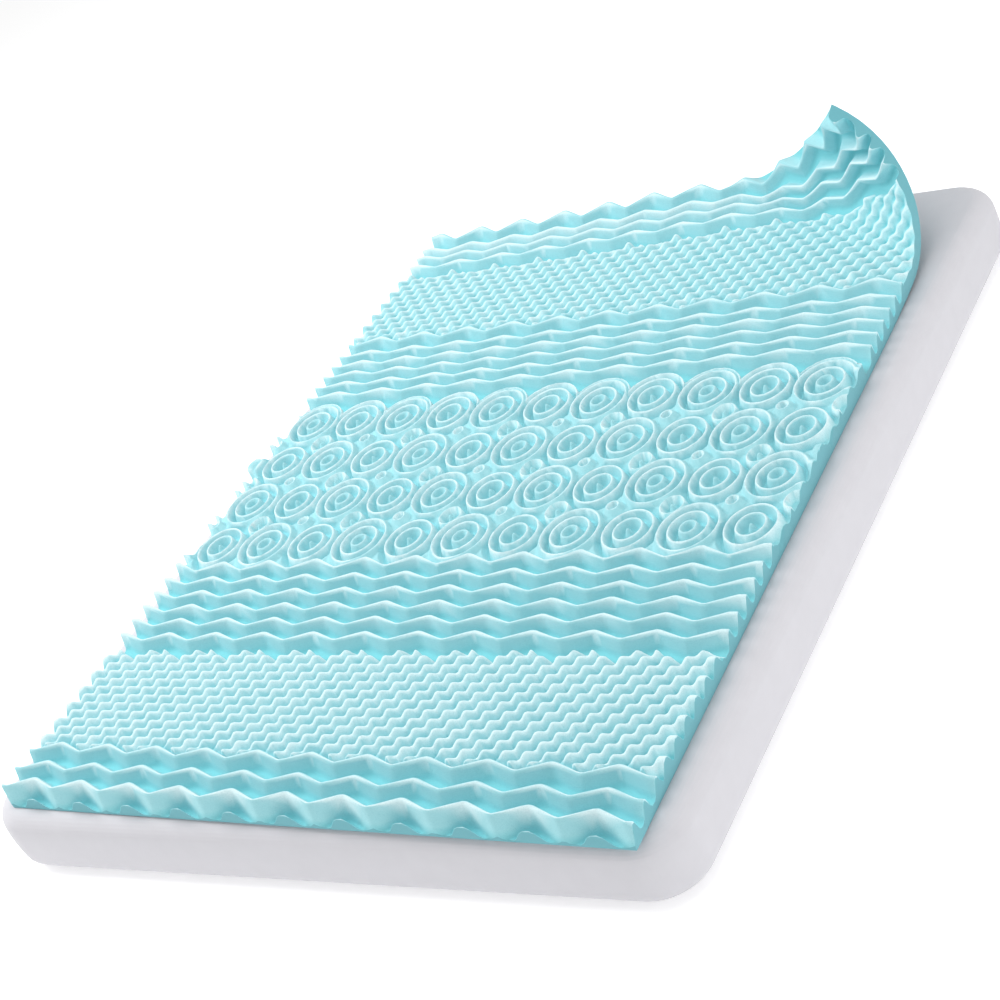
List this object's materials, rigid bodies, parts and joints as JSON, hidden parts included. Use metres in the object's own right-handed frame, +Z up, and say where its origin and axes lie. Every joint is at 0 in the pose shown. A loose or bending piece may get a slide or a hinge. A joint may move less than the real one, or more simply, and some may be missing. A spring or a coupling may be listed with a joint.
{
  "type": "mattress topper on a mattress",
  "caption": "Profiled foam mattress topper with zones of zigzag ridges, small waves and concentric rings, one corner rolled back, lying on a plain mattress.",
  "frame": {"origin": "middle of the whole thing in plan, on the plane of the mattress's underside", "axes": "+Z up, +Y from the foot of the bed to its head, +X to the side whose head corner is rolled back"},
  "size_m": [1.652, 2.0824, 0.5089],
  "materials": {
    "foam": "matt open-cell foam, pale aqua, fine pores",
    "knit": "matt fine white knit"
  },
  "bodies": {
    "root": {"mattress": "knit", "topper": "foam"}
  },
  "joints": []
}
